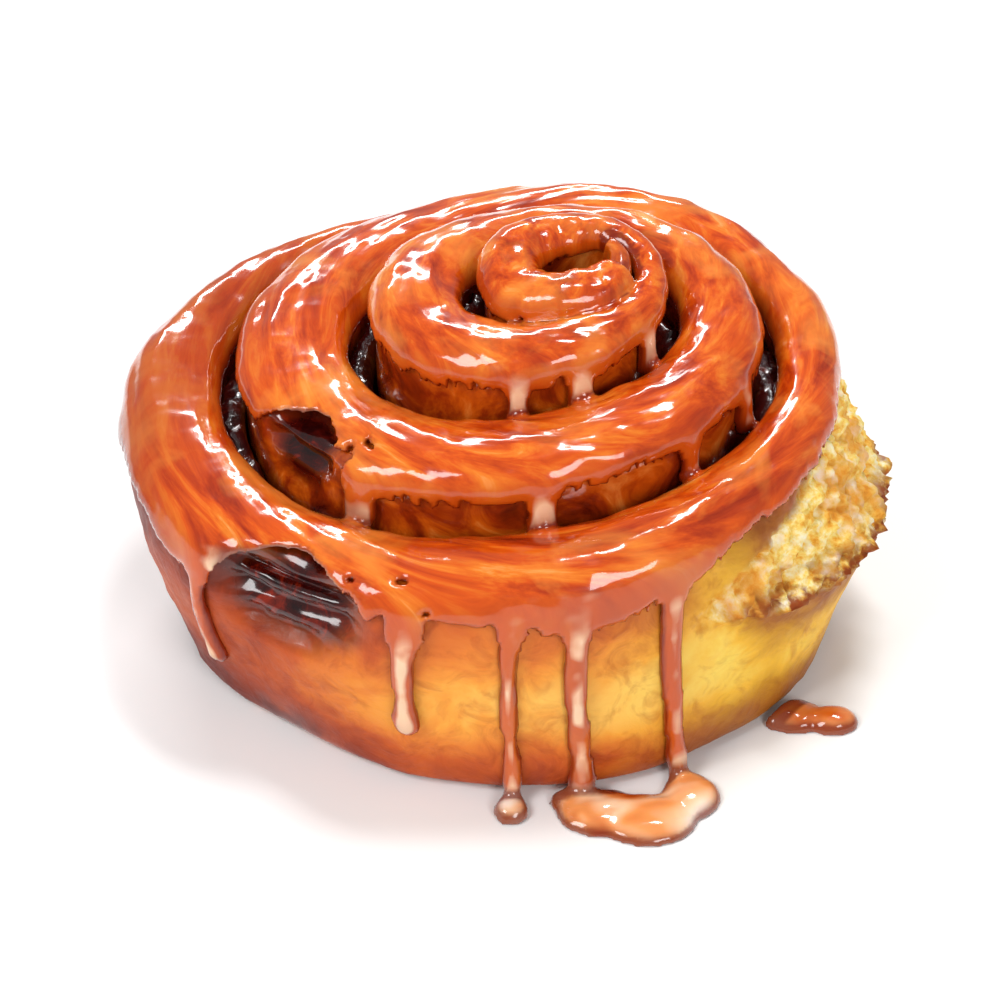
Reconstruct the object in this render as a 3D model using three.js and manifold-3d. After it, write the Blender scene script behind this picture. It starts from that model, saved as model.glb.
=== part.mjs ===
// A glazed cinnamon roll. One long strip of dough is coiled up with a ribbon of cinnamon filling
// between its turns. The baked coil has risen into a stepped dome, one side is torn where it was
// pulled off its neighbour, and caramel glaze covers the top, hangs down the walls in drips and
// lies in pools on the surface that the roll stands on.
//
// Millimetres, +Z up, the roll stands on z = 0 and its front faces -Y. A place on the coil is
// given in turns: 0 is at the left (-X), a quarter turn further is the back, then the right and
// the front, and each whole turn lies one strip further out.
import * as THREE from "three";
import { mergeVertices } from "three/addons/utils/BufferGeometryUtils.js";
import Module from "manifold-3d";

const wasm = await Module();
wasm.setup();

// ---- Driving dimensions -----------------------------------------------------------------------

const rollWidth = 116; // across X, where the wall is widest
const rollDepth = 100; // across Y, there
const rimCentre = [-6.5, 0.5]; // the widest outline stands a little left of the eye
const baseShift = [5, -4.5]; // how far the foot of the wall stands from under the rim
const baseTuck = 3.5; // how much smaller the foot's radius is than the widest outline's

const crestTop = 63.5; // height of the innermost turns, before the tilt
const turnDrop = 7; // how much lower each further turn stands
const tilt = [0.055, 0.11]; // rise of the top per millimetre towards +X and +Y

const eyeCentre = [8.5, 6.5]; // the hole in the middle
const eyeRadius = 5.2;
const heartRadius = 12.6; // the first seam round the eye
const stripPitch = 18.5; // strip and seam together, once the coil is under way
const coilStart = -0.6; // in turns, where the strip's inner end lies
const coilEnd = 3.3; // where its outer end is tucked against the wall

const narrowSeam = 2; // between the turns at the front and the back
const wideSeam = 5.2; // between them at the left and the right
const heartSeam = 0.35; // the share of that which the first seam, round the eye, is open
const fillingSink = 7; // how far the filling's top edge lies under the strip's crest
const coreSink = 22; // how far the filling that closes the eye lies under the crest there
const clearance = 0.3; // left between pieces that touch

const tearTurn = 2.53; // middle of the torn side
const tearSpan = 0.14; // in turns, from there to where the tear closes
const lipReach = 11; // how far the torn lip stands out of the wall
const lipHeight = 27;

const glazeThickness = 1.3;
const poolHeight = 2.6;

// Runs of glaze: where they leave the coat, how far below the strip's shoulder they end, and how
// wide they are. The first lie between the turns, the others hang on the roll's own side, where
// they lean (in turns, over the whole height) to run straight down. The longest reach the pools.
const drips = [
  { turn: 0.615, fall: 8, width: 2.4 },
  { turn: 0.714, fall: 8, width: 2.6 },
  { turn: 0.779, fall: 8, width: 2.4 },
  { turn: 1.58, fall: 8, width: 2.4 },
  { turn: 1.645, fall: 8, width: 2.2 },
  { turn: 1.743, fall: 8.5, width: 3 },
  { turn: 1.85, fall: 8, width: 4 },
  { turn: 2.665, fall: 35, width: 2.8, lean: 0.004 },
  { turn: 2.708, fall: 33.5, width: 3, lean: 0.008 },
  { turn: 2.735, fall: 32.5, width: 2.4, lean: 0.014 },
  { turn: 2.779, fall: 19, width: 3, lean: 0.018 },
  { turn: 2.883, fall: 20, width: 2.8, lean: 0.026 },
];

// Places where the filling has boiled out through the coat: where, and half their length in turns.
const bursts = [
  { turn: 1.9, span: 0.045 },
  { turn: 2.84, span: 0.042 },
];

// Rounded lobes of the pools: centre x and y, and half sizes along x and y.
const frontPool = [
  { at: [13, -54], half: [7.5, 5.4] },
  { at: [20, -55.5], half: [8, 5.8] },
  { at: [27, -50.5], half: [5, 5.2] },
  { at: [8.5, -51.5], half: [4, 3.4] },
  { at: [-1.2, -53.6], half: [3, 3.3] },
];
const sidePool = [
  { at: [45, -32.5], half: [6, 3.8] },
  { at: [51, -33.5], half: [4.5, 3.2] },
];

// ---- Small helpers ----------------------------------------------------------------------------

const { cos, sin, PI, min, max, exp, sqrt, hypot } = Math;
const { lerp, clamp, smoothstep } = THREE.MathUtils;
const softRamp = (x, sharpness) => Math.log(1 + exp(sharpness * x)) / sharpness;
const mix = (a, b, share) => a.map((value, i) => lerp(value, b[i], share));
const bump = (x, middle, span) => 1 - smoothstep(Math.abs(x - middle), 0, span);
const deepest = (values) => values.reduce((most, value) => max(most, value), 0);

// ---- The coil's plan --------------------------------------------------------------------------

// The seam between turn t of the strip and the turn inside it, which becomes the roll's own
// outline once the coil has ended.
function seamPoint(turn) {
  const angle = PI - 2 * PI * turn;
  const squash = rollDepth / rollWidth;
  const ray = [cos(angle), (squash - 0.06 * clamp(1 - turn / coilEnd, 0, 1)) * sin(angle)];
  const radius =
    lerp(eyeRadius, heartRadius, smoothstep(turn, 0.15, 0.6)) +
    stripPitch * softRamp(turn - 1.1, 6) +
    0.5 * sin(11 * turn) * smoothstep(turn, 1, 2);
  const centre = mix(eyeCentre, [0, 2], clamp(turn / coilEnd, 0, 1));
  const seam = centre.map((c, i) => c + radius * ray[i]);
  const lump = 1 - 0.03 * bump(turn, 3.07, 0.1) + 0.008 * sin(9 * angle);
  const outline = rimCentre.map((c, i) => c + (rollWidth / 2) * lump * ray[i]);
  return mix(seam, outline, smoothstep(turn, coilEnd - 0.2, coilEnd + 0.15));
}

// How far a turn belongs to the outer wall: 0 inside the coil, 1 on the roll's side.
const wallShare = (turn) => smoothstep(turn + 1, coilEnd - 0.1, coilEnd + 0.1);

// The gap between neighbouring turns of dough, which the filling lies in.
const seamWidth = (turn) =>
  lerp(narrowSeam, wideSeam, cos(2 * PI * turn) ** 2) *
  lerp(heartSeam, 1, smoothstep(turn, 0.65, 1.05));

function crestHeight(turn, point) {
  const level = crestTop - turnDrop * softRamp(turn - 0.35, 5);
  const dip = 1.8 * bump(turn % 1, 0.22, 0.12) * smoothstep(turn, 2, 2.1);
  const ripple = 0.5 * sin(2 * PI * 1.37 * turn) + 0.4 * sin(2 * PI * 3.1 * turn);
  return level + tilt[0] * point[0] + tilt[1] * point[1] + ripple - dip;
}

// Draws the foot of the wall in under the rim and pulls the torn lip out of the side.
function settle(x, y, z) {
  const away = [x - rimCentre[0], y - rimCentre[1]];
  const share = hypot(away[0] / (rollWidth / 2), away[1] / (rollDepth / 2));
  const reach = max(hypot(away[0], away[1]), 0.001);
  const tuck = share ** 3 * (1 - smoothstep(z, -6, 32));
  const turn = coilEnd - 0.3 - (Math.atan2(-away[1] / rollDepth, -away[0] / rollWidth) / (2 * PI));
  const torn = bump(2 + (turn % 1), tearTurn, tearSpan) * smoothstep(share, 0.8, 1);
  const lip = z > lipHeight ? 1 - (z - lipHeight) / 17 : max(z / lipHeight, 0) ** 1.3;
  const cornerTuck = 1 + bump(2 + (turn % 1), 2.86, 0.12);
  const out = lipReach * torn * clamp(lip, 0, 1) - baseTuck * cornerTuck * tuck;
  return new THREE.Vector3(
    x + (out * away[0]) / reach + baseShift[0] * tuck,
    y + (out * away[1]) / reach + baseShift[1] * tuck,
    z,
  );
}

// ---- The strip's surface ----------------------------------------------------------------------

// The strip's section at a turn: its two faces, its crest and its two shoulders.
function stripSection(turn) {
  const inner = seamPoint(turn);
  const outer = seamPoint(turn + 1);
  const width = hypot(outer[0] - inner[0], outer[1] - inner[1]);
  const wall = wallShare(turn);
  const from = seamWidth(turn) / 2 / width;
  const to = 1 - (seamWidth(turn + 1) / 2 / width) * (1 - wall);
  const crest = crestHeight(turn, mix(inner, outer, 0.5));
  const round = min(1, width / 12);
  return {
    innerFace: mix(inner, outer, from),
    outerFace: mix(inner, outer, to),
    crest,
    innerShoulder: crest - 4 * round,
    outerShoulder: crest - lerp(4.5, 8.5, wall) * round,
  };
}

// A point on the strip. Along the section, 0 to 1 climbs the inner face, 1 to 2 crosses the top
// from the inner shoulder to the outer one, and 2 to 3 goes down the outer face.
function stripPoint(turn, along) {
  const { innerFace, outerFace, crest, innerShoulder, outerShoulder } = stripSection(turn);
  if (along <= 1) return settle(innerFace[0], innerFace[1], innerShoulder * along);
  if (along >= 2) return settle(outerFace[0], outerFace[1], outerShoulder * (3 - along));
  const q = along - 1;
  const plan = mix(innerFace, outerFace, 0.5 - 0.5 * cos(PI * q));
  const chord = lerp(innerShoulder, outerShoulder, q);
  return settle(plan[0], plan[1], chord + (crest - chord) * sin(PI * q) ** 0.75);
}

// The same point moved off the dough by a distance.
function liftedPoint(turn, along, lift) {
  const step = 0.03;
  const down = stripPoint(turn, along + step).sub(stripPoint(turn, along - step));
  const ahead = stripPoint(turn + 0.004, along).sub(stripPoint(turn - 0.004, along));
  const out = new THREE.Vector3().crossVectors(ahead, down).normalize();
  return stripPoint(turn, along).addScaledVector(out, lift);
}

// A place on the strip's outer face, by its depth below the shoulder.
const alongAt = (turn, depth) =>
  depth < 0 ? 2 + depth / 14 : 2 + depth / stripSection(turn).outerShoulder;

// ---- Meshes from rows of points ---------------------------------------------------------------

// A closed skin through rows of points. Each row is a closed section, and both ends are capped
// between the row's first half and its second.
function skin(rows) {
  const count = rows[0].length;
  const positions = rows.flat().flatMap((p) => [p.x, p.y, p.z]);
  const index = [];
  for (let i = 0; i + 1 < rows.length; i++)
    for (let j = 0; j < count; j++) {
      const a = i * count + j;
      const b = i * count + ((j + 1) % count);
      index.push(a, a + count, b, b, a + count, b + count);
    }
  const last = (rows.length - 1) * count;
  for (let j = 0, k = count - 1; j + 1 < k; j++, k--) {
    const corners = j + 1 === k - 1 ? [[j, j + 1, k]] : [[j, j + 1, k], [j + 1, k - 1, k]];
    for (const [a, b, c] of corners) index.push(a, b, c, last + a, last + c, last + b);
  }
  const geometry = new THREE.BufferGeometry();
  geometry.setAttribute("position", new THREE.Float32BufferAttribute(positions, 3));
  return geometry.setIndex(index);
}

// Turns at a nearly even spacing along the strip, closer together round the eye, and closer
// still wherever the detail function says so.
function turnsBetween(from, to, spacing, detail = () => 1) {
  const turns = [];
  for (let turn = from; turn < to - 0.005; ) {
    turns.push(turn);
    const middle = mix(seamPoint(turn), seamPoint(turn + 1), 0.5);
    const radius = hypot(middle[0] - eyeCentre[0], middle[1] - eyeCentre[1]);
    turn += min(spacing / (2 * PI * radius), 1 / 18) / detail(turn);
  }
  return [...turns, to];
}

function solid(geometry) {
  const bare = new THREE.BufferGeometry().setIndex(geometry.index);
  bare.setAttribute("position", geometry.getAttribute("position"));
  const merged = mergeVertices(bare, 1e-4);
  const mesh = new wasm.Mesh({
    numProp: 3,
    vertProperties: merged.getAttribute("position").array,
    triVerts: new Uint32Array(merged.index.array),
  });
  return new wasm.Manifold(mesh);
}

function fromSolid(body) {
  const mesh = body.getMesh();
  const geometry = new THREE.BufferGeometry();
  geometry.setAttribute("position", new THREE.BufferAttribute(mesh.vertProperties, 3));
  return geometry.setIndex(new THREE.BufferAttribute(mesh.triVerts, 1));
}

// Only the largest body, without the crumbs that a cut can leave.
const largest = (body) =>
  body.decompose().reduce((best, part) => (part.volume() > best.volume() ? part : best));

// What is left of a body beside the dough, as one clean mesh. Corners that come to lie on each
// other are joined before the last crumbs are dropped.
function besideDough(body) {
  const rest = largest(body.subtract(solid(doughSkin(clearance)))).simplify(0.002);
  return fromSolid(largest(solid(fromSolid(largest(rest)))));
}

// ---- Dough ------------------------------------------------------------------------------------

const doughSection = [
  0, 0.45, 0.8, 1, 1.15, 1.32, 1.5, 1.68, 1.85, 2, 2.12, 2.26, 2.42, 2.58, 2.74, 2.88, 3,
];

// The dough's skin, or with a lift the skin of the room that it needs round it.
function doughSkin(lift) {
  const turns = turnsBetween(coilStart, coilEnd, 6.8);
  if (lift > 0) turns.unshift(coilStart - lift / 50);
  if (lift > 0) turns.push(coilEnd + lift / 200);
  const point = (turn, along) => {
    const place = liftedPoint(turn, along, lift);
    return along === 0 || along === 3 ? place.setZ(-lift) : place;
  };
  return skin(turns.map((turn) => doughSection.map((along) => point(turn, along))));
}

// ---- Cinnamon filling -------------------------------------------------------------------------

// The plug of filling that has run together in the eye and closes it from below.
function corePart() {
  const radius = eyeRadius + 3;
  const height = crestHeight(0, eyeCentre) - coreSink;
  const core = new THREE.CylinderGeometry(radius, radius, height, 24).rotateX(PI / 2);
  core.scale(1, rollDepth / rollWidth, 1);
  return solid(core.translate(...eyeCentre, 0.4 + height / 2));
}

// The ribbon is modelled as a wall that is too thick, and cut back to the room in the seam.
function fillingGeometry() {
  const rows = turnsBetween(coilStart + 0.93, coilEnd - 0.1, 7).map((turn) => {
    const near = stripSection(turn - 1).outerFace;
    const far = stripSection(turn).innerFace;
    const top = crestHeight(turn, seamPoint(turn)) - fillingSink;
    const corner = (share, height) => settle(...mix(near, far, share), height);
    return [corner(-0.3, 0.4), corner(-0.3, top), corner(1.3, top), corner(1.3, 0.4)];
  });
  return besideDough(solid(skin(rows)).add(corePart()));
}

// ---- Glaze ------------------------------------------------------------------------------------

// How far the coat comes down the strip's outer face.
function coatEdge(turn) {
  const wall = wallShare(turn);
  const wave = 0.5 + 0.5 * sin(2 * PI * 4.6 * turn + 1.3 * sin(9 * turn));
  const hang = lerp(0.6 + 1.4 * wave, -1.5 + 3.5 * wave, wall);
  return lerp(lerp(hang, -5.5, burstShare(turn)), -1.5, bump(turn, tearTurn, tearSpan + 0.03));
}

const burstShare = (turn) =>
  deepest(bursts.map((place) => bump(turn, place.turn, place.span) ** 0.5));

const coatSection = [0, 0.07, 0.2, 0.4, 0.6, 0.8, 0.93, 1];

function coatPart(from, to) {
  const detail = (turn) => 1 + 1.5 * sqrt(burstShare(turn));
  const rows = turnsBetween(from, to, 7, detail).map((turn) => {
    const start = 0.98;
    const end = alongAt(turn, coatEdge(turn));
    const top = coatSection.map((share) => {
      const lift = glazeThickness * (0.25 + 0.75 * sin(PI * share) ** 0.5) + clearance;
      return liftedPoint(turn, lerp(start, end, share), lift);
    });
    const under = coatSection.map((share) => liftedPoint(turn, lerp(start, end, share), -1));
    return [...top, ...under.reverse()];
  });
  return solid(skin(rows));
}

// A run of glaze down the outer face: flared where it leaves the coat, thin along its length and
// rounded into a drop at its end.
function dripPart({ turn: top, fall, width, lean = 0 }) {
  const rows = [];
  const foot = seamPoint(top + 1);
  const radius = hypot(foot[0] - eyeCentre[0], foot[1] - eyeCentre[1]);
  const onGround = fall > 30;
  const shares = [0, 0.08, 0.18, 0.35, 0.55, 0.72, 0.84, 0.92, 0.97, 1];
  for (const depth of [-4.5, -3, -1.8, -0.8, ...shares.map((share) => share * fall)]) {
    const turn = top + (lean * max(depth, 0)) / 38;
    const flare = 1.1 * exp(-max(depth, 0) / 2.2);
    const fromTip = fall - depth;
    const drop = 1 + 0.35 * exp(-((fromTip / width - 0.7) ** 2));
    const tip = onGround ? 1 : sqrt(max(0.02, 1 - max(0, 1 - fromTip / (width * 0.6)) ** 2));
    const half = ((width / 2) * (drop + flare) * tip) / (2 * PI * radius);
    const lift = glazeThickness * drop * tip * lerp(0.4, 1.2, smoothstep(depth, -3, 2.5));
    const along = min(alongAt(turn, depth), 3);
    const front = [1, 0.7, 0.25, -0.25, -0.7, -1].map((side) =>
      liftedPoint(turn + side * half, along, clearance + lift * sqrt(1.05 - side ** 2)),
    );
    const back = [-0.9, 0.9].map((side) => liftedPoint(turn + side * half, along, -0.5));
    rows.push([...front, ...back]);
  }
  return solid(skin(rows));
}

// A flat-bottomed pool of rounded lobes that run together.
function poolPart(lobes) {
  const ground = solid(new THREE.BoxGeometry(200, 200, 20).translate(0, 0, -10));
  const bodies = lobes.map(({ at, half }) => {
    const lobe = new THREE.SphereGeometry(1, 16, 10).rotateX(PI / 2);
    return solid(lobe.scale(half[0], half[1], poolHeight).translate(at[0], at[1], 0.1));
  });
  return bodies.reduce((joined, body) => joined.add(body)).subtract(ground);
}

function glazeGeometry() {
  const parts = [coatPart(coilStart + 0.18, coilEnd - 0.06), ...drips.map(dripPart)];
  const glaze = parts.reduce((joined, part) => joined.add(part), poolPart(frontPool));
  return besideDough(glaze);
}

// ---- The roll ---------------------------------------------------------------------------------

const group = new THREE.Group();

function addPiece(name, geometry, color, roughness) {
  const material = new THREE.MeshStandardMaterial({ color, roughness, metalness: 0 });
  const piece = new THREE.Mesh(geometry, material);
  piece.name = name;
  group.add(piece);
}

addPiece("dough_coil", doughSkin(0), 0xd9822b, 0.8);
addPiece("filling_ribbon", fillingGeometry(), 0x3a0d05, 0.35);
addPiece("glaze", glazeGeometry(), 0xe0641a, 0.15);
addPiece("side_pool", besideDough(poolPart(sidePool)), 0xe8925a, 0.15);

// The middle of the whole roll's footprint is put at the origin.
const middle = new THREE.Box3().setFromObject(group).getCenter(new THREE.Vector3());
for (const piece of group.children) piece.geometry.translate(-middle.x, -middle.y, 0);

export default group;
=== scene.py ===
import math
import bpy
import numpy as np
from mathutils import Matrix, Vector, noise
from mathutils.bvhtree import BVHTree


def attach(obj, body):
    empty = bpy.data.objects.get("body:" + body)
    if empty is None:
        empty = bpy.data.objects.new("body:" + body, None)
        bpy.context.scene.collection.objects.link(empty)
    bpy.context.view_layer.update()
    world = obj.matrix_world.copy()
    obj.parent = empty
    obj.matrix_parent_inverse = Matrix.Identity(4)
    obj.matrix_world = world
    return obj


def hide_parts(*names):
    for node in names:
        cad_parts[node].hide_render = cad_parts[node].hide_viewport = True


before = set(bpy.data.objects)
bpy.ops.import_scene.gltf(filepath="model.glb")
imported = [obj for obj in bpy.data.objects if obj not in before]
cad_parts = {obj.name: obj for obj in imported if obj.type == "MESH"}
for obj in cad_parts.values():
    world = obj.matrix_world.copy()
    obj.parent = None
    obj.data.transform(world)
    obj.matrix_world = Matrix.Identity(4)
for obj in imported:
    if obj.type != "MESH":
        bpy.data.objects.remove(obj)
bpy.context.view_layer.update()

# ---- Camera -----------------------------------------------------------------------------------
# A short telephoto lens looks down at the roll's front from across a table. It is aimed a little
# above the middle of the roll's foot, so that the whole roll is in view.

look_at = Vector((-0.0003, 0.0048, 0.0199))
camera_distance = 0.398
camera_rise = math.radians(38.3)

camera = bpy.data.objects.new("camera", bpy.data.cameras.new("camera"))
camera.data.lens = 85
camera.data.sensor_width = 36
camera.data.clip_start = 0.01
camera.location = look_at + camera_distance * Vector(
    (0, -math.cos(camera_rise), math.sin(camera_rise))
)
camera.rotation_euler = (math.pi / 2 - camera_rise, 0, 0)
bpy.context.collection.objects.link(camera)
bpy.context.scene.camera = camera

# ---- Table and light --------------------------------------------------------------------------
# The roll stands on a plain white table under four soft lights. The narrow one behind and the one
# overhead are there for the wet glaze to mirror, and a pale sky fills the shadows.

bpy.ops.mesh.primitive_plane_add(size=6, location=(0, 0, 0))
table = bpy.context.object
table.name = "table"
table_finish = bpy.data.materials.new("table_white")
table_finish.use_nodes = True
table_shader = table_finish.node_tree.nodes["Principled BSDF"]
table_shader.inputs["Base Color"].default_value = (0.9, 0.9, 0.9, 1)
table_shader.inputs["Roughness"].default_value = 0.7
table.data.materials.append(table_finish)

sky = bpy.data.worlds.new("sky")
bpy.context.scene.world = sky
sky.use_nodes = True
sky_light = sky.node_tree.nodes["Background"]
sky_light.inputs["Color"].default_value = (1, 1, 1, 1)
sky_light.inputs["Strength"].default_value = 0.33

# name, place, width, height, watts
lights = [
    ("back_light", (-0.1, 0.6, 0.42), 0.42, 0.07, 2.4),
    ("left_light", (-0.45, -0.35, 0.6), 0.3, 0.3, 3.2),
    ("front_light", (0.35, -0.7, 0.5), 0.3, 0.3, 2.8),
    ("top_light", (0.1, 0.15, 0.75), 0.2, 0.11, 2.4),
]
for name, place, width, height, watts in lights:
    lamp = bpy.data.objects.new(name, bpy.data.lights.new(name, "AREA"))
    lamp.data.shape = "RECTANGLE"
    lamp.data.size, lamp.data.size_y = width, height
    lamp.data.energy = watts
    lamp.location = place
    aim = look_at - Vector(place)
    lamp.rotation_euler = aim.to_track_quat("-Z", "Y").to_euler()
    bpy.context.collection.objects.link(lamp)

bpy.context.scene.view_settings.view_transform = "Standard"

# ---- Dough ------------------------------------------------------------------------------------
# One long strip of sweet dough, coiled and baked: dark at the left, golden at the right, and torn
# open there where it was pulled off the next roll. Round its foot, under the coat and under the
# torn lip its colour is darkened as painted shade. It is the CAD coil made smooth, with wrinkles in
# its crust, tufts in its crumb and hollows where it burst.

mm = 1000  # millimetres in a metre: the shaping below works in millimetres
rim_centre = Vector((-3.8, 5.3))
rim_half = Vector((58.0, 50.0))
foot_shift = Vector((5.0, -4.5))
foot_tuck = 3.5
tear_angle, tear_reach = math.radians(-10.8), math.radians(50)
tear_low, tear_high = 19, 51  # the heights between which the mesh is made finer
lip_height = 27.0
tear_height = 20.0  # how far the tear goes above the lip, at its middle
swell, wrinkle = 0.3, 0.12  # heights of the slow and of the fine waves in the crust
tuft_height, hole_depth = 1.8, 3.6
lip_swell, lip_fray = 1.5, 2.2
strand_height = 1.1  # of the strands that cross a burst place
# centre on the wall, half length, half height, depth of the hollow
burst_places = [
    (Vector((-31.8, -33.0, 32.5)), 16.0, 10.5, 3.8),
    (Vector((-31.2, -12.6, 45.0)), 8.5, 9.0, 2.2),
]


def fade(low, high, value):
    """0 below low, 1 above high, and smooth between them."""
    share = min(max((value - low) / (high - low), 0.0), 1.0)
    return share * share * (3 - 2 * share)


def smooth_copy(node, name, rounds):
    """A copy of a CAD piece with its doubles merged, in quads, and subdivided some rounds."""
    any_angle = 3.14
    bpy.ops.object.select_all(action="DESELECT")
    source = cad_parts[node]
    piece = bpy.data.objects.new(name, source.data.copy())
    bpy.context.collection.objects.link(piece)
    piece.data.materials.clear()
    bpy.context.view_layer.objects.active = piece
    piece.select_set(True)
    bpy.ops.object.mode_set(mode="EDIT")
    bpy.ops.mesh.select_all(action="SELECT")
    bpy.ops.mesh.remove_doubles(threshold=1e-6)
    bpy.ops.mesh.tris_convert_to_quads(face_threshold=any_angle, shape_threshold=any_angle)
    bpy.ops.object.mode_set(mode="OBJECT")
    if rounds:
        smooth = piece.modifiers.new("smooth", "SUBSURF")
        smooth.levels = smooth.render_levels = rounds
        bpy.ops.object.modifier_apply(modifier="smooth")
    return piece


def move_points(piece, points):
    """Puts the piece's points at new places, given in metres."""
    piece.data.vertices.foreach_set("co", np.array(points, np.float32).ravel())
    piece.data.update()


def shade(piece):
    """Shades the piece smooth."""
    bpy.ops.object.select_all(action="DESELECT")
    piece.select_set(True)
    bpy.context.view_layer.objects.active = piece
    bpy.ops.object.shade_smooth()


def mark(piece, name, values):
    """Keeps one number for each point of the piece, for its material to read."""
    layer = piece.data.attributes.new(name, "FLOAT", "POINT")
    layer.data.foreach_set("value", np.asarray(values, np.float32))


def wall_place(point):
    """Share of the way out to the roll's side, and how far into the tear."""
    foot = 1 - fade(-6, 32, point.z)
    away = Vector((point.x, point.y)) - rim_centre - foot_shift * foot
    half = rim_half - Vector((foot_tuck, foot_tuck)) * foot
    share = math.hypot(away.x / half.x, away.y / half.y)
    bearing = math.atan2(away.y / rim_half.y, away.x / rim_half.x)
    torn = 1 - fade(0, tear_reach, abs(bearing - tear_angle))
    return share, torn


def ruffle(point, scale, seed):
    """Fractal noise at a scale in millimetres, about -1 to 1."""
    at = point / scale + Vector((seed, 2.7 * seed, -1.3 * seed))
    return noise.fractal(at, 0.9, 2.1, 4)


dough = smooth_copy("dough_coil", "dough_coil_baked", rounds=2)

# More points in the tear, where the crumb is fine.
bpy.ops.object.mode_set(mode="EDIT")
bpy.ops.mesh.select_all(action="DESELECT")
bpy.ops.object.mode_set(mode="OBJECT")
for face in dough.data.polygons:
    centre = Vector(face.center) * mm
    share, torn = wall_place(centre)
    face.select = share > 0.93 and torn > 0.03 and tear_low < centre.z < tear_high
bpy.ops.object.mode_set(mode="EDIT")
bpy.ops.mesh.subdivide(number_cuts=2, smoothness=0)
bpy.ops.object.mode_set(mode="OBJECT")

marks = {name: [] for name in ("crumb", "soak", "hollow", "darkening_and_shade", "lip")}
moved = []
for vertex in dough.data.vertices:
    point = Vector(vertex.co) * mm
    out = Vector(vertex.normal)
    share, torn = wall_place(point)
    # 1 on the roll's dry side, 0 on the soaked faces inside the coil
    wall = max(
        fade(0.9, 0.965, share) * fade(-0.75, -0.2, -out.z),
        fade(0.98, 1.03, share),
    )
    # the torn band lies between the ragged lip and the crust above it
    ragged = 1.6 * ruffle(point, 5, 3)
    tear_top = lip_height + tear_height * torn**0.5
    crumb = (
        fade(0.02, 0.12, torn)
        * fade(lip_height - 2.5, lip_height + 0.5, point.z + ragged)
        * (1 - fade(tear_top - 2.5, tear_top, point.z + ragged))
        * fade(0.93, 0.98, share)
    )
    lip = fade(0.02, 0.2, torn) * math.exp(-(((point.z - lip_height + ragged) / 2.4) ** 2))
    lip *= fade(0.98, 1.05, share)
    push = swell * ruffle(point, 9, 1) + wrinkle * ruffle(point, 2.4, 2) * wall
    # torn crumb: soft tufts with holes between them, and a frayed lip
    tuft = ruffle(Vector((point.x, point.y * 1.6, point.z)), 3.4, 5)
    hole = max(0.0, ruffle(point, 6.5, 8) - 0.12)
    push += crumb * (tuft_height * tuft - hole_depth * hole)
    push += lip * (lip_swell + lip_fray * ruffle(point, 3, 6))
    # a burst place: a hollow crossed by strands, with an uneven edge
    hollow = 0.0
    for middle, half_length, half_height, depth in burst_places:
        off = point - middle
        along = math.hypot(off.x, off.y)
        reach = math.hypot(along / half_length, off.z / half_height)
        inside = 1 - fade(0.62, 1.0, reach + 0.12 * ruffle(point, 7, 14))
        strand = math.sin(1.1 * off.z + 0.9 * ruffle(point, 8, 4))
        push -= inside * (depth - strand_height * strand)
        hollow = max(hollow, inside)
    # the foot stays flat on the table
    push *= fade(0.2, 2.5, point.z)
    point += out * push
    point.z = max(point.z, 0.0)
    moved.append(point / mm)
    # near 1 where the crust is darker: at the left, and, as painted shade, round the foot, under
    # the coat and under the lip
    side = 1 - fade(-50, 8, point.x)
    foot_band = 1 - fade(3, 16, point.z + 1.5 * ruffle(point, 12, 9))
    under_coat = fade(19, 34, point.z) * (1 - fade(24, 42, point.x))
    under_lip = 0.6 * fade(12, 26, point.z) * fade(0.1, 0.4, torn)
    shaded = 0.55 * foot_band + 0.42 * under_coat + under_lip
    marks["crumb"].append(crumb)
    marks["soak"].append(1 - wall)
    marks["hollow"].append(hollow)
    marks["darkening_and_shade"].append(min(1.0, 0.66 * side**1.2 + shaded * (1 - 0.4 * side)))
    marks["lip"].append(lip)

move_points(dough, moved)
for name, values in marks.items():
    mark(dough, name, values)
shade(dough)


def rgb(code):
    """A colour from its usual six-digit code, as the shader wants it."""
    parts = [int(code[i : i + 2], 16) / 255 for i in (0, 2, 4)]
    return tuple(
        p / 12.92 if p <= 0.04045 else ((p + 0.055) / 1.055) ** 2.4 for p in parts
    ) + (1.0,)


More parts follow.
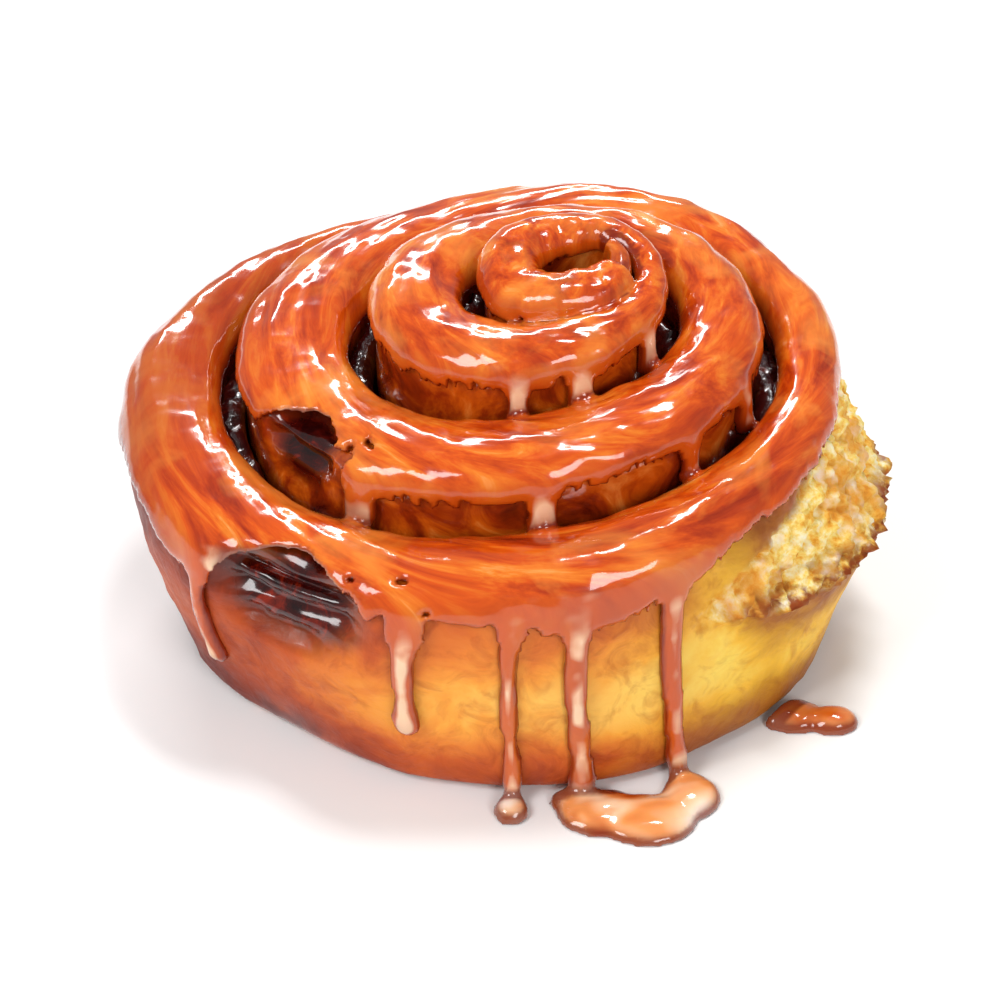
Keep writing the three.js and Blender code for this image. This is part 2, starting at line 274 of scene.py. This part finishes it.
class Maker:
    """Short hands for placing and joining shader nodes in one material."""

    def __init__(self, name):
        self.material = bpy.data.materials.new(name)
        self.material.use_nodes = True
        self.nodes = self.material.node_tree.nodes
        self.links = self.material.node_tree.links
        self.shader = self.nodes["Principled BSDF"]

    def join(self, value, socket):
        """Sets a socket to a number or a colour, or links it."""
        if isinstance(value, (int, float)):
            socket.default_value = value
        elif isinstance(value, tuple):
            socket.default_value = value if len(value) == len(socket.default_value) else value[:3]
        else:
            self.links.new(value, socket)

    def attribute(self, name, output="Fac"):
        """What is kept on the piece's points under a name."""
        node = self.nodes.new("ShaderNodeAttribute")
        node.attribute_name = name
        return node.outputs[output]

    def here(self):
        """The place on the piece, in metres."""
        return self.nodes.new("ShaderNodeTexCoord").outputs["Object"]

    def noise(self, at, scale, detail=4, rough=0.55, distortion=0.0):
        """Cloudy greys. On places in metres, the scale is about how many clouds fill a metre."""
        node = self.nodes.new("ShaderNodeTexNoise")
        self.join(at, node.inputs["Vector"])
        node.inputs["Scale"].default_value = scale
        node.inputs["Detail"].default_value = detail
        node.inputs["Roughness"].default_value = rough
        node.inputs["Distortion"].default_value = distortion
        return node.outputs["Fac"]

    def math(self, how, a, b=0.0):
        """Adds, multiplies or takes b from a, and holds the result between 0 and 1."""
        node = self.nodes.new("ShaderNodeMath")
        node.operation = how
        node.use_clamp = True
        self.join(a, node.inputs[0])
        self.join(b, node.inputs[1])
        return node.outputs[0]

    def ramp(self, value, *stops):
        """Colours or greys at places from 0 to 1."""
        node = self.nodes.new("ShaderNodeValToRGB")
        self.join(value, node.inputs["Fac"])
        elements = node.color_ramp.elements
        while len(elements) < len(stops):
            elements.new(0.5)
        for element, (place, colour) in zip(elements, stops):
            element.position = place
            element.color = colour if isinstance(colour, tuple) else (colour,) * 3 + (1,)
        return node.outputs["Color"]

    def blend(self, share, low, high, how="MIX"):
        """The low colour where the share is 0, and the high one where it is 1."""
        node = self.nodes.new("ShaderNodeMix")
        node.data_type = "RGBA"
        node.blend_type = how
        colours_in = [socket for socket in node.inputs if socket.type == "RGBA"]
        colours_out = [socket for socket in node.outputs if socket.type == "RGBA"]
        self.join(share, node.inputs[0])
        self.join(low, colours_in[0])
        self.join(high, colours_in[1])
        return colours_out[0]

    def bump(self, height, depth_mm, strength=1.0, under=None):
        """Fine relief that only the light sees, on top of the one under it."""
        node = self.nodes.new("ShaderNodeBump")
        node.inputs["Distance"].default_value = depth_mm / mm
        node.inputs["Strength"].default_value = strength
        self.join(height, node.inputs["Height"])
        if under is not None:
            self.links.new(under, node.inputs["Normal"])
        return node.outputs["Normal"]


crust = Maker("baked_dough")
here = crust.here()
darkening_and_shade, soak, hollow, crumb, lip = (
    crust.attribute(name) for name in ("darkening_and_shade", "soak", "hollow", "crumb", "lip")
)
split = crust.nodes.new("ShaderNodeSeparateXYZ")
crust.join(here, split.inputs[0])
right = split.outputs["X"]
blotch = crust.noise(here, 70, 5, 0.6, 0.6)
fine = crust.noise(here, 420, 5, 0.6)
streak = crust.noise(here, 160, 4, 0.6, 1.2)
# the crust is darker at the left, and darkened as painted shade round the foot, under the coat and
# under the lip
darkness = crust.math(
    "ADD", darkening_and_shade, crust.math("MULTIPLY", crust.math("SUBTRACT", blotch, 0.4), 0.8)
)
orange_crust = crust.ramp(
    darkness,
    (0.0, rgb("f9c25a")),
    (0.2, rgb("f2a03a")),
    (0.4, rgb("df7a28")),
    (0.6, rgb("c4561a")),
    (0.8, rgb("a03a10")),
    (1.0, rgb("74200a")),
)
golden_crust = crust.ramp(
    darkness,
    (0.0, rgb("f9da62")),
    (0.2, rgb("f0b830")),
    (0.4, rgb("c98d18")),
    (0.62, rgb("a8641a")),
    (0.85, rgb("843c12")),
)
# the crust turns golden between 14 and 36 mm right of the middle
golden = crust.ramp(crust.math("MULTIPLY", right, 14.0), (0.2, 0.0), (0.5, 1.0))
wall_colour = crust.blend(golden, orange_crust, golden_crust)
wall_colour = crust.blend(
    crust.ramp(streak, (0.48, 0.0), (0.7, 0.5)), wall_colour, rgb("b8742a"), "MULTIPLY"
)
soaked_colour = crust.ramp(
    crust.noise(here, 110, 5, 0.6, 1.0),
    (0.3, rgb("4c0d05")),
    (0.46, rgb("942f08")),
    (0.6, rgb("c9590e")),
    (0.76, rgb("ee9440")),
)
hollow_colour = crust.ramp(
    crust.noise(here, 210, 4, 0.6, 1.5),
    (0.35, rgb("1c0203")),
    (0.54, rgb("430804")),
    (0.72, rgb("8a2209")),
)
crumb_colour = crust.ramp(
    crust.noise(here, 330, 6, 0.65),
    (0.28, rgb("b8621a")),
    (0.4, rgb("e9a433")),
    (0.5, rgb("f8d56e")),
    (0.6, rgb("fdeebe")),
    (0.72, rgb("fffaf0")),
)
crumb_colour = crust.blend(
    crust.ramp(crust.noise(here, 95, 3), (0.48, 0.0), (0.62, 0.7)), crumb_colour, rgb("d98a2c")
)
toast = crust.ramp(crust.noise(here, 260, 4), (0.38, 0.0), (0.52, 1.0))
colour = crust.blend(soak, wall_colour, soaked_colour)
colour = crust.blend(crumb, colour, crumb_colour)
colour = crust.blend(crust.math("MULTIPLY", lip, toast), colour, rgb("8a3a0e"))
colour = crust.blend(hollow, colour, hollow_colour)
crust.join(colour, crust.shader.inputs["Base Color"])
wet = crust.math("ADD", soak, hollow)
dry_rough = crust.blend(crumb, crust.ramp(fine, (0.3, 0.4), (0.7, 0.6)), (0.85, 0.85, 0.85, 1))
crust.join(crust.blend(wet, dry_rough, (0.16, 0.16, 0.16, 1)), crust.shader.inputs["Roughness"])
coated = crust.math("SUBTRACT", wet, crust.math("MULTIPLY", hollow, 0.35))
crust.join(
    crust.math("MULTIPLY", coated, crust.math("SUBTRACT", 1.0, crumb)),
    crust.shader.inputs["Coat Weight"],
)
crust.shader.inputs["Coat Roughness"].default_value = 0.06
crust.shader.inputs["Subsurface Weight"].default_value = 0.12
crust.shader.inputs["Subsurface Radius"].default_value = (0.004, 0.0015, 0.0006)
crust.shader.inputs["Subsurface Scale"].default_value = 1.0
crust.shader.inputs["Specular IOR Level"].default_value = 0.3
dry = crust.math("SUBTRACT", 1.0, wet)
crust.join(
    crust.bump(
        crust.math("MULTIPLY", fine, dry),
        0.25,
        0.5,
        crust.bump(crust.math("MULTIPLY", streak, dry), 0.7, 0.5),
    ),
    crust.shader.inputs["Normal"],
)
dough.data.materials.append(crust.material)
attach(dough, "root")
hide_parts("dough_coil")

# ---- Cinnamon filling -------------------------------------------------------------------------
# A wet, nearly black ribbon of butter, sugar and cinnamon between the turns. It has boiled, so
# its top edge is lumpy and shines.

filling = smooth_copy("filling_ribbon", "filling_ribbon_wet", rounds=1)
lump_height = 1.6
moved = []
for vertex in filling.data.vertices:
    point = Vector(vertex.co) * mm
    lump = 0.9 * ruffle(point, 5, 11) + 0.4 * ruffle(point, 1.8, 12)
    point.z += lump_height * lump * fade(20, 40, point.z)
    moved.append(point / mm)
move_points(filling, moved)
shade(filling)

syrup = Maker("cinnamon_syrup")
here = syrup.here()
grain = syrup.noise(here, 380, 5, 0.6)
syrup.join(
    syrup.ramp(
        syrup.noise(here, 150, 4, 0.6, 0.8),
        (0.35, rgb("1e0305")),
        (0.55, rgb("43090a")),
        (0.72, rgb("7c2510")),
    ),
    syrup.shader.inputs["Base Color"],
)
syrup.join(syrup.ramp(grain, (0.3, 0.12), (0.7, 0.3)), syrup.shader.inputs["Roughness"])
syrup.shader.inputs["Coat Weight"].default_value = 0.8
syrup.shader.inputs["Coat Roughness"].default_value = 0.05
syrup.join(syrup.bump(grain, 0.6, 0.7), syrup.shader.inputs["Normal"])
filling.data.materials.append(syrup.material)
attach(filling, "root")
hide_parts("filling_ribbon")

# ---- Glaze ------------------------------------------------------------------------------------
# Thick caramel, poured over the warm roll: a coat over every turn, drips down the walls and the
# pool they feed. It is the CAD glaze bedded into the dough, fused and smoothed as a liquid is.
# Its rolled rims are painted dark red as shade, and painted pale highlights run down the cores of
# its drips and lie in the middle of its pools.

glaze = smooth_copy("glaze", "glaze_poured", rounds=0)
dough_skin = BVHTree.FromPolygons(
    [vertex.co for vertex in dough.data.vertices],
    [face.vertices for face in dough.data.polygons],
)


bedding = 0.9  # how deep the glaze's underside is pushed into the dough
underside = 0.36  # what lies nearer to the dough than this is its underside
table_film = 0.8  # what lies lower than this stands on the table
rim_bead = 0.55  # how far the rim swells
off_table = 2.5, 3.5  # between these heights the glaze leaves the table for the wall


def over_dough(place):
    """How far a place is above the dough in millimetres, and the dough's point and normal there."""
    spot, out, _, gap = dough_skin.find_nearest(place)
    return gap * mm * (1 if (place - spot).dot(out) > 0 else -1), spot, out


def swell_rim(piece):
    """Swells the rim that the glaze has on the dough into a bead, as a thick sauce has."""
    moved = []
    for vertex in piece.data.vertices:
        above, _, _ = over_dough(vertex.co)
        bead = fade(-0.5, 0.1, above) * (1 - fade(0.9, 1.8, above))
        bead *= fade(*off_table, vertex.co.z * mm)
        moved.append(vertex.co + vertex.normal * rim_bead / mm * bead)
    move_points(piece, moved)


def fuse(piece, grain, rounds):
    """Makes the piece one even skin of a fine grain, and smooths it for some rounds."""
    skin = piece.modifiers.new("fuse", "REMESH")
    skin.mode = "VOXEL"
    skin.voxel_size = grain / mm
    bpy.ops.object.modifier_apply(modifier="fuse")
    swell_rim(piece)
    settle = piece.modifiers.new("settle", "SMOOTH")
    settle.iterations = rounds
    bpy.ops.object.modifier_apply(modifier="settle")


for vertex in glaze.data.vertices:
    above, spot, out = over_dough(vertex.co)
    if abs(above) < underside and vertex.co.z * mm > table_film:
        vertex.co = spot - out * bedding / mm
fuse(glaze, grain=0.66, rounds=7)

eye = Vector((11.2, 11.0))  # the streaks in the glaze turn round it
streak_shortness, streak_width = 2.6, 3.4
slow_wave, ripple = 0.34, 0.22
thickest = 3.0
pool_top = 2.4, 4.4  # between these heights a pool gives way to the drip that feeds it


def swirl(point):
    """A place whose noise runs in streaks along the turns of the coil."""
    away = Vector((point.x, point.y)) - eye
    reach = max(away.length, 0.1)
    round_eye = away * streak_shortness / reach
    return Vector((round_eye.x, round_eye.y, reach / streak_width))


def pour(piece):
    """Gives a fused piece its waves, and marks what colours it: its thickness, flow and slope, its
    rims and pools, and the side where the roll is darkest."""
    marks = {name: [] for name in ("thick", "slope", "rim", "pool", "west")}
    swirls, moved = [], []
    for vertex in piece.data.vertices:
        point = Vector(vertex.co) * mm
        above, _, out = over_dough(vertex.co)
        pool = 1 - fade(*pool_top, point.z)
        off_wall = fade(1.5, 4, above)
        flow = swirl(point)
        wave = slow_wave * noise.fractal(flow * 1.1, 0.9, 2.0, 2) + ripple * ruffle(point, 9, 21)
        wave *= fade(0.5, 1.2, above)
        point += Vector(vertex.normal) * fade(0.2, 2, point.z) * wave
        point.z = max(point.z, 0.0)
        moved.append(point / mm)
        swirls.append(flow)
        # how far the surface turns away from the dough's, or from level where it lies on the table
        turned = 1 - Vector(vertex.normal).dot(out) * (1 - off_wall) - vertex.normal.z * off_wall
        marks["thick"].append(min(max(above / thickest, 0.0), 1.0))
        # slope: steepness, which darkens the colour as painted shade and places the painted drip
        # highlights
        marks["slope"].append(fade(0.35, 0.95, 1 - vertex.normal.z))
        # rim: where the surface rolls away; the colour is darkened there as painted shade
        marks["rim"].append(fade(0.1 - 0.06 * pool, 0.55 - 0.2 * pool, turned))
        marks["pool"].append(pool)
        marks["west"].append(1 - fade(-58, -36, point.x - 0.35 * point.y))
    move_points(piece, moved)
    for name, values in marks.items():
        mark(piece, name, values)
    layer = piece.data.attributes.new("swirl", "FLOAT_VECTOR", "POINT")
    layer.data.foreach_set("vector", np.array(swirls, np.float32).ravel())
    shade(piece)


pour(glaze)

sauce = Maker("caramel_glaze")
here = sauce.here()
flow = sauce.attribute("swirl", "Vector")
thickness, slope, rim, pool, west = (
    sauce.attribute(name) for name in ("thick", "slope", "rim", "pool", "west")
)
body = sauce.ramp(
    sauce.noise(flow, 1.0, 5, 0.62, 0.7),
    (0.25, rgb("7c1904")),
    (0.4, rgb("ae3606")),
    (0.52, rgb("cf500b")),
    (0.64, rgb("e07820")),
    (0.8, rgb("f3b06a")),
)
# paler clouds, then darker slopes as painted shade, darker still towards the left, and the left
# slopes darkest, also as painted shade
cloud = sauce.noise(here, 60, 4, 0.55, 0.8)
body = sauce.blend(sauce.ramp(cloud, (0.5, 0.0), (0.68, 0.7)), body, rgb("e98a36"))
body = sauce.blend(sauce.math("MULTIPLY", slope, 0.75), body, rgb("c2500f"))
body = sauce.blend(sauce.math("MULTIPLY", west, 0.6), body, rgb("98300a"))
body = sauce.blend(sauce.math("MULTIPLY", slope, west), body, rgb("7c1c06"))
# the pools' own orange, with a painted pale highlight where the clouds run light
pool_with_highlight = sauce.ramp(
    sauce.noise(here, 75, 2, 0.5, 0.6),
    (0.34, rgb("c4520e")),
    (0.46, rgb("ee9a5a")),
    (0.56, rgb("f9cda6")),
    (0.66, rgb("fff4ea")),
)
body = sauce.blend(pool, body, pool_with_highlight)
# painted highlight: pale streaks, here and there, down the middle of steep, thick drips
patches = sauce.ramp(sauce.noise(here, 95, 2), (0.42, 0.0), (0.5, 0.85))
drip_highlight = sauce.math("MULTIPLY", slope, sauce.ramp(thickness, (0.56, 0.0), (0.66, 1.0)))
drip_highlight = sauce.math("SUBTRACT", sauce.math("MULTIPLY", drip_highlight, patches), pool)
body = sauce.blend(drip_highlight, body, rgb("fbd6b0"))
# painted shade: the rolled rims darkened to a deep red
body = sauce.blend(sauce.math("MULTIPLY", rim, 0.85), body, rgb("741704"))
sauce.join(body, sauce.shader.inputs["Base Color"])
sauce.shader.inputs["Roughness"].default_value = 0.16
sauce.shader.inputs["IOR"].default_value = 1.45
sauce.shader.inputs["Specular IOR Level"].default_value = 0.3
sauce.shader.inputs["Coat Weight"].default_value = 0.7
sauce.shader.inputs["Coat Roughness"].default_value = 0.03
sauce.shader.inputs["Subsurface Weight"].default_value = 0.12
sauce.shader.inputs["Subsurface Radius"].default_value = (0.003, 0.001, 0.0004)
sauce.shader.inputs["Subsurface Scale"].default_value = 1.0
sauce.join(
    sauce.bump(sauce.noise(flow, 1.6, 2, 0.5, 0.3), 0.5, 0.25),
    sauce.shader.inputs["Normal"],
)
glaze.data.materials.append(sauce.material)
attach(glaze, "root")
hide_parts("glaze")

# ---- Side pool --------------------------------------------------------------------------------
# A small pool of the same caramel that has run out from under the roll at the right. It stands
# apart on the table and is held by nothing.

side_pool = smooth_copy("side_pool", "side_pool_poured", rounds=0)
fuse(side_pool, grain=0.4, rounds=8)
pour(side_pool)
side_pool.data.materials.append(sauce.material)
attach(side_pool, "root")
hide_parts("side_pool")
